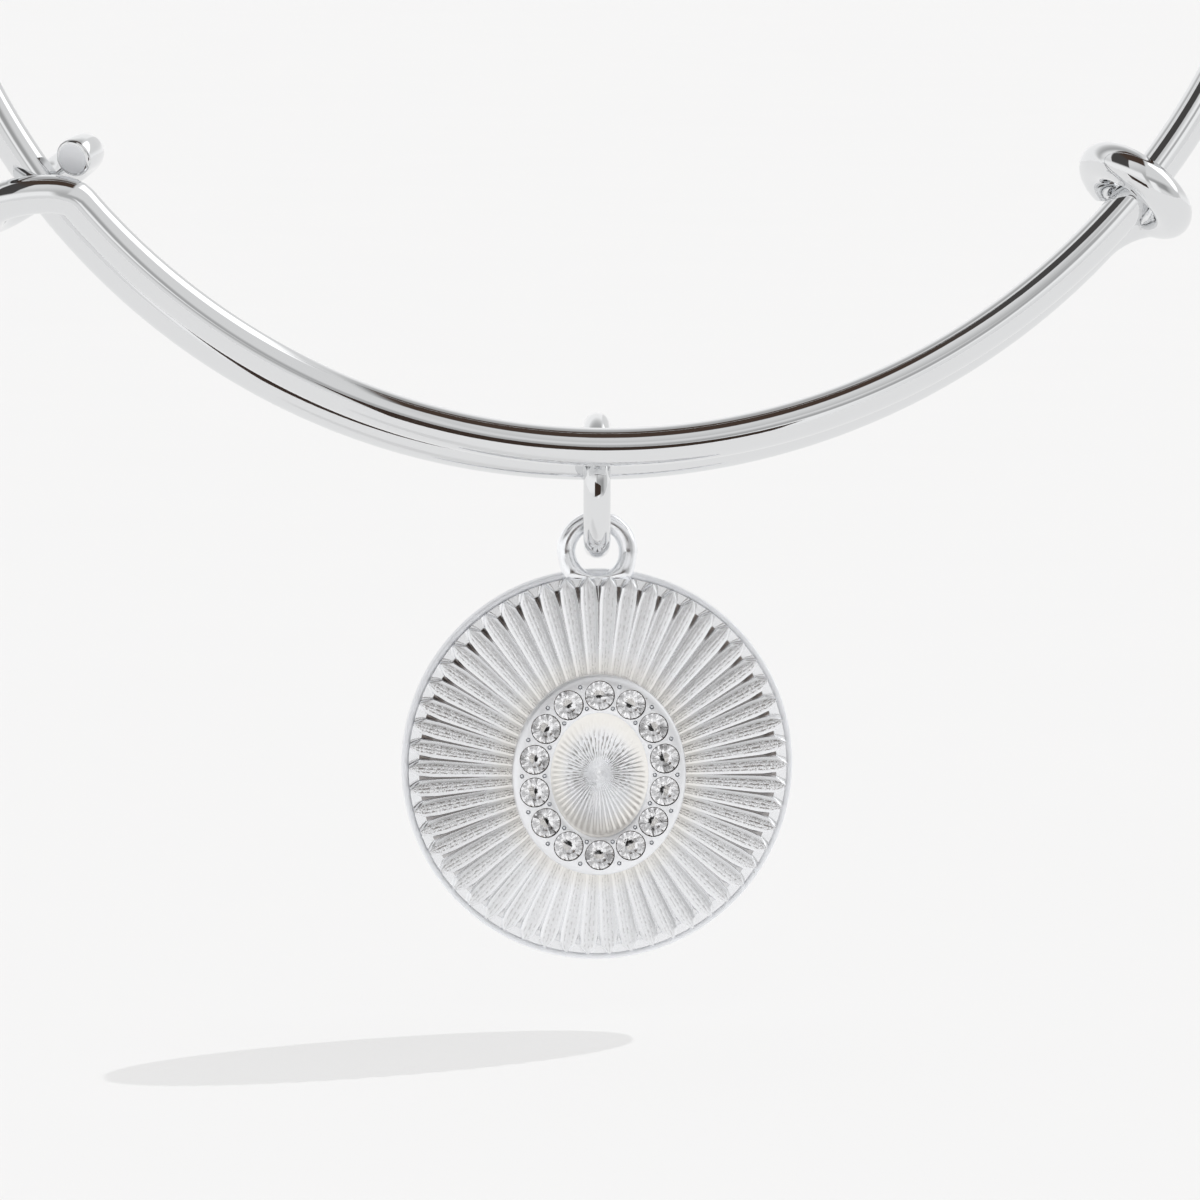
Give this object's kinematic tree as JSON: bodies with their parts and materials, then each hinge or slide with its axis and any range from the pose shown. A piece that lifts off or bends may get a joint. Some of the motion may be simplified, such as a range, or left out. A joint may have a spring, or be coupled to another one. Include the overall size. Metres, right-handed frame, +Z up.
{
  "type": "charm bangle",
  "caption": "Expandable silver-coloured wire bangle with sliding coils, and a round sunburst charm with an oval halo of clear stones on a jump ring.",
  "frame": {"origin": "inside top of the bangle's wire, where the bangle hangs", "axes": "+Z up, +X to the right of the charm's face, +Y away from the viewer of the charm's face, along the bangle's axis"},
  "size_m": [0.0712, 0.0103, 0.0956],
  "materials": {
    "wire": "bright silver plate over a brass wire, polished to a mirror",
    "ring": "bright silver plate, polished to a mirror",
    "charm": "bright silver plate over a casting, with finely brushed lines along its ribs",
    "stone": "clear cut glass with a foiled back"
  },
  "bodies": {
    "bangle": {"bangle_wire": "wire"},
    "ring": {"jump_ring": "ring"},
    "charm": {"pendant": "charm", "stone_01": "stone", "stone_02": "stone", "stone_03": "stone", "stone_04": "stone", "stone_05": "stone", "stone_06": "stone", "stone_07": "stone", "stone_08": "stone", "stone_09": "stone", "stone_10": "stone", "stone_11": "stone", "stone_12": "stone", "stone_13": "stone", "stone_14": "stone"}
  },
  "joints": [
    {"name": "ring_swing", "type": "hinge", "parent": "bangle", "child": "ring", "pos_m": [-0.00014, 0.00236, -0.0685], "axis": [1, 0, 0], "range_deg": [-20, 85]},
    {"name": "charm_sway", "type": "hinge", "parent": "ring", "child": "charm", "pos_m": [-0.00014, 0.00236, -0.07274], "axis": [0, 1, 0], "range_deg": [-50, 50]}
  ]
}
